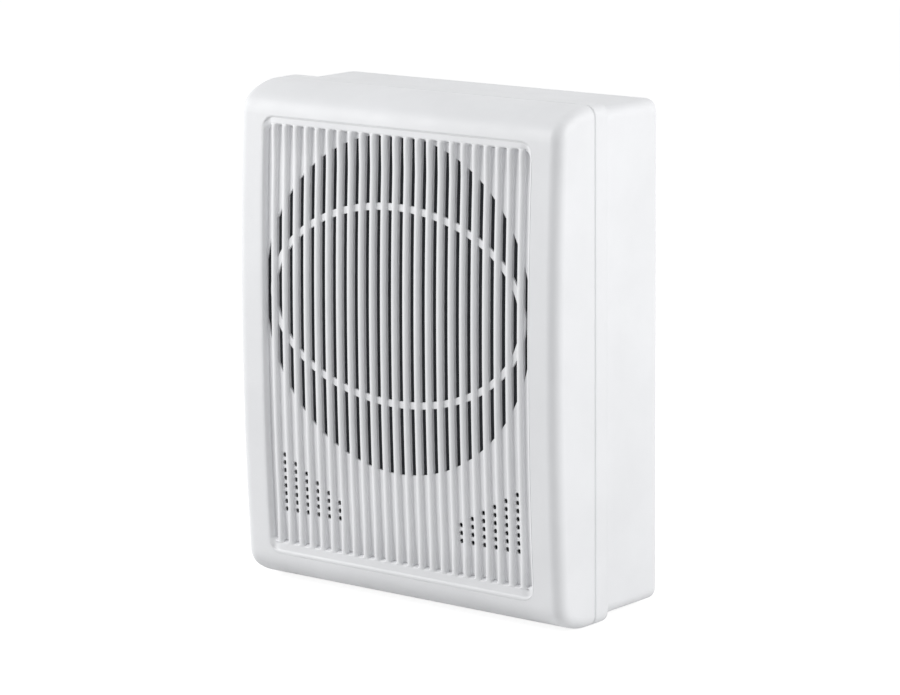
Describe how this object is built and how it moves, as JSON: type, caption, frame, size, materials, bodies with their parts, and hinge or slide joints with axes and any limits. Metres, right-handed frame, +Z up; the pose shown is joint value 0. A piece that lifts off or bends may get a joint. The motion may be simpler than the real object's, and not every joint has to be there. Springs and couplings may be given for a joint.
{
  "type": "wall speaker",
  "caption": "Wall-mounted cabinet loudspeaker with a crowned, ribbed white grille cover, slots in a circle crossed by an oval ring, and a shallow rear box.",
  "frame": {"origin": "centre of the rear face, on the wall plane", "axes": "+X right seen from the front, +Y towards the wall, +Z up"},
  "size_m": [0.2, 0.086, 0.253],
  "materials": {
    "housing_white": "satin",
    "cloth_black": "matte",
    "gasket_foam": "matte",
    "plated_steel": "satin",
    "surround_cloth": "matte",
    "cone_paper": "matte",
    "coil_copper": "satin",
    "spider_cloth": "matte",
    "ferrite": "matte",
    "phenolic_brown": "matte",
    "tag_brass": "satin",
    "core_steel": "satin",
    "bobbin_plastic": "matte",
    "lead_red": "satin",
    "lead_black": "satin",
    "grommet_rubber": "matte"
  },
  "bodies": {
    "housing": {"front_cover": "housing_white", "rear_box": "housing_white", "dust_cloth": "cloth_black", "driver_gasket": "gasket_foam", "driver_basket": "plated_steel", "surround": "surround_cloth", "spider": "spider_cloth", "top_plate": "plated_steel", "magnet": "ferrite", "back_plate": "plated_steel", "tag_board": "phenolic_brown", "solder_lugs": "tag_brass", "tinsel_leads": "coil_copper", "transformer_core": "core_steel", "transformer_bobbin": "bobbin_plastic", "transformer_winding": "coil_copper", "transformer_frame": "plated_steel", "transformer_tags": "tag_brass", "lead_red": "lead_red", "lead_black": "lead_black", "cable_grommet": "grommet_rubber", "case_screws": "plated_steel", "driver_screws": "plated_steel", "transformer_screws": "plated_steel"},
    "cone": {"cone": "cone_paper", "dust_cap": "cone_paper", "voice_coil": "coil_copper"}
  },
  "joints": [
    {"name": "cone_travel", "type": "slide", "parent": "housing", "child": "cone", "axis": [0, 1, 0], "range_m": [-0.0025, 0.0025], "stiffness_N_per_m": 2000, "deforming": ["surround", "spider", "tinsel_leads"]}
  ]
}
